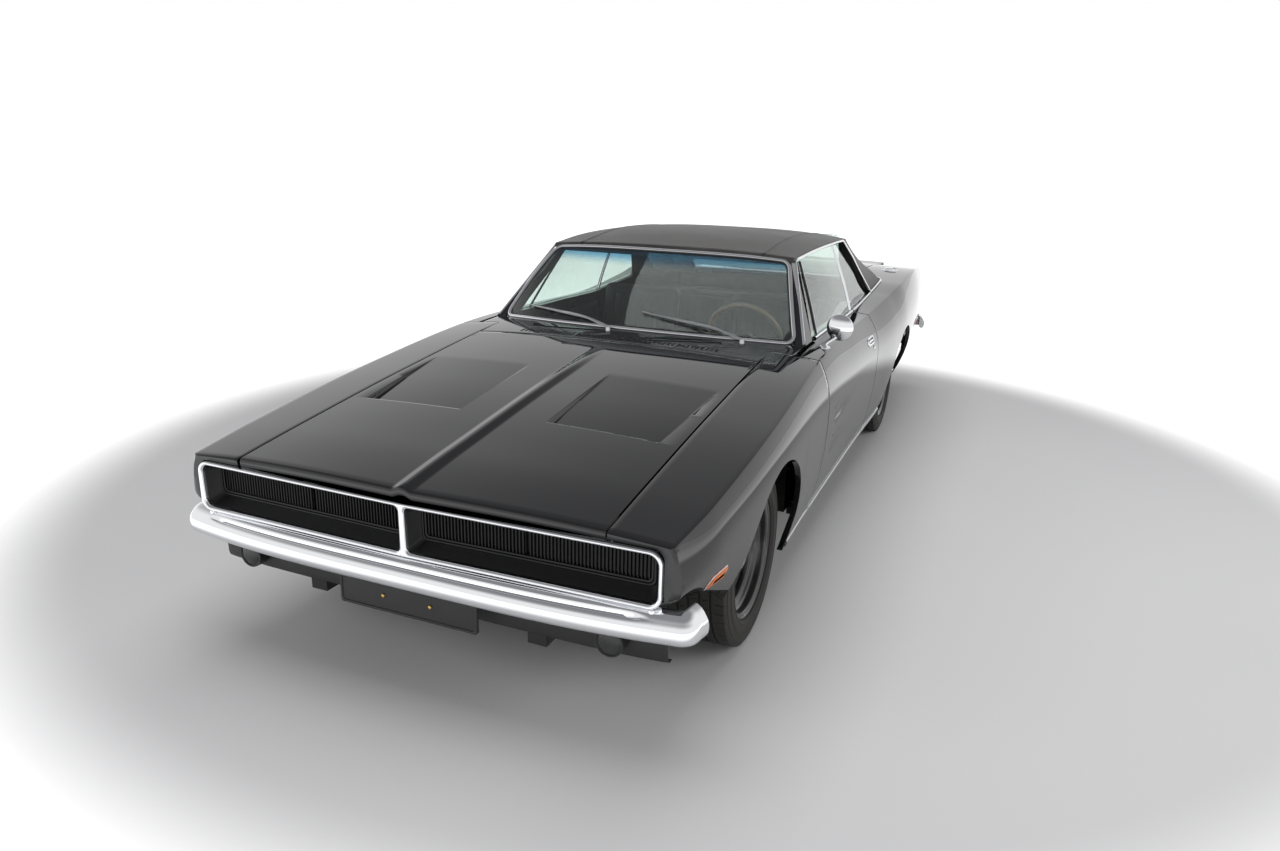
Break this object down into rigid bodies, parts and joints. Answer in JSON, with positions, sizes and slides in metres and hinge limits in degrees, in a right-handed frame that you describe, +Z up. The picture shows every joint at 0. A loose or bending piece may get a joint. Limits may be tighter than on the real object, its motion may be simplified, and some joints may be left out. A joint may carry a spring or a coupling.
{
  "type": "two-door fastback muscle car",
  "caption": "Full-size two-door hardtop fastback with a recessed full-width grille, chrome bumpers, vinyl roof, opening doors, hood and deck lid, and steered front wheels.",
  "frame": {"origin": "on the ground, below the middle of the body's length and width", "axes": "+Z up, the front of the car faces -Y, the car's left side is +X"},
  "size_m": [1.946, 5.283, 1.3514],
  "materials": {
    "body_paint": "gloss black paint",
    "vinyl": "matt black grained vinyl",
    "underbody": "satin black primer",
    "chrome": "polished chrome",
    "satin_steel": "satin steel",
    "grille_black": "satin black",
    "clear_glass": "lightly green-tinted glass",
    "red_lens": "red lens",
    "amber_lens": "amber lens",
    "engine_iron": "painted cast iron",
    "chassis": "black chassis paint",
    "seat_vinyl": "black seat vinyl",
    "interior_plastic": "black grained padding",
    "wood_rim": "varnished wood",
    "exhaust_steel": "aluminised steel",
    "tank_steel": "zinc-coated steel",
    "plate_black": "black plate holder",
    "wheel_black": "black painted steel",
    "tyre_rubber": "black tyre rubber"
  },
  "bodies": {
    "body": {"floor_pan": "underbody", "cowl_panel": "body_paint", "front_fender_left": "body_paint", "front_fender_right": "body_paint", "quarter_panel_left": "body_paint", "quarter_panel_right": "body_paint", "roof_panel": "vinyl", "windshield_frame": "body_paint", "rocker_panels": "body_paint", "front_valance": "body_paint", "inner_fenders": "underbody", "rear_deck_panel": "body_paint", "tail_panel": "body_paint", "front_bumper": "chrome", "rear_bumper": "chrome", "grille_surround": "chrome", "grille": "grille_black", "tail_lamps": "red_lens", "marker_lamps": "amber_lens", "windshield": "clear_glass", "rear_window": "clear_glass", "quarter_windows": "clear_glass", "engine_block": "engine_iron", "front_seats": "seat_vinyl", "rear_seat": "seat_vinyl", "dashboard": "interior_plastic", "steering_column": "interior_plastic", "front_suspension": "chassis", "rear_axle": "chassis", "driveshaft": "chassis", "exhaust": "exhaust_steel", "fuel_tank": "tank_steel", "wipers": "satin_steel", "license_plate": "plate_black", "fuel_filler": "chrome"},
    "door_left": {"door_left": "body_paint", "door_glass_left": "clear_glass", "door_mirror": "chrome"},
    "door_right": {"door_right": "body_paint", "door_glass_right": "clear_glass"},
    "hood": {"hood": "body_paint"},
    "deck_lid": {"deck_lid": "body_paint"},
    "steering_wheel": {"steering_wheel": "wood_rim"},
    "knuckle_left": {"knuckle_left": "chassis"},
    "knuckle_right": {"knuckle_right": "chassis"},
    "front_wheel_left": {"front_wheel_left": "wheel_black", "front_tyre_left": "tyre_rubber"},
    "front_wheel_right": {"front_wheel_right": "wheel_black", "front_tyre_right": "tyre_rubber"},
    "rear_wheel_left": {"rear_wheel_left": "wheel_black", "rear_tyre_left": "tyre_rubber"},
    "rear_wheel_right": {"rear_wheel_right": "wheel_black", "rear_tyre_right": "tyre_rubber"}
  },
  "joints": [
    {"name": "door_left_swing", "type": "hinge", "parent": "body", "child": "door_left", "pos_m": [0.917, -0.861, 0.6], "axis": [0, 0, -1], "range_deg": [0, 65]},
    {"name": "door_right_swing", "type": "hinge", "parent": "body", "child": "door_right", "pos_m": [-0.917, -0.861, 0.6], "axis": [0, 0, 1], "range_deg": [0, 65]},
    {"name": "hood_lift", "type": "hinge", "parent": "body", "child": "hood", "pos_m": [0, -1.0305, 0.935], "axis": [-1, 0, 0], "range_deg": [0, 48]},
    {"name": "deck_lid_lift", "type": "hinge", "parent": "body", "child": "deck_lid", "pos_m": [0, 1.3105, 0.985], "axis": [1, 0, 0], "range_deg": [0, 70]},
    {"name": "steer_left", "type": "hinge", "parent": "body", "child": "knuckle_left", "pos_m": [0.665, -1.6915, 0.335], "axis": [0, 0, 1], "range_deg": [-30, 30]},
    {"name": "steer_right", "type": "hinge", "parent": "body", "child": "knuckle_right", "pos_m": [-0.665, -1.6915, 0.335], "axis": [0, 0, 1], "range_deg": [-30, 30]},
    {"name": "steering_wheel_turn", "type": "hinge", "parent": "body", "child": "steering_wheel", "pos_m": [0.39, -0.3645, 0.87], "axis": [0, 0.9272, 0.3746], "range_deg": [-480, 480]},
    {"name": "front_left_spin", "type": "hinge", "parent": "knuckle_left", "child": "front_wheel_left", "pos_m": [0.75, -1.6915, 0.335], "axis": [1, 0, 0], "continuous": true},
    {"name": "front_right_spin", "type": "hinge", "parent": "knuckle_right", "child": "front_wheel_right", "pos_m": [-0.75, -1.6915, 0.335], "axis": [1, 0, 0], "continuous": true},
    {"name": "rear_left_spin", "type": "hinge", "parent": "body", "child": "rear_wheel_left", "pos_m": [0.75, 1.2805, 0.335], "axis": [1, 0, 0], "continuous": true},
    {"name": "rear_right_spin", "type": "hinge", "parent": "body", "child": "rear_wheel_right", "pos_m": [-0.75, 1.2805, 0.335], "axis": [1, 0, 0], "continuous": true}
  ],
  "couplings": [
    {"joint": "steer_right", "follows": "steer_left", "ratio": 1},
    {"joint": "steering_wheel_turn", "follows": "steer_left", "ratio": 16}
  ]
}
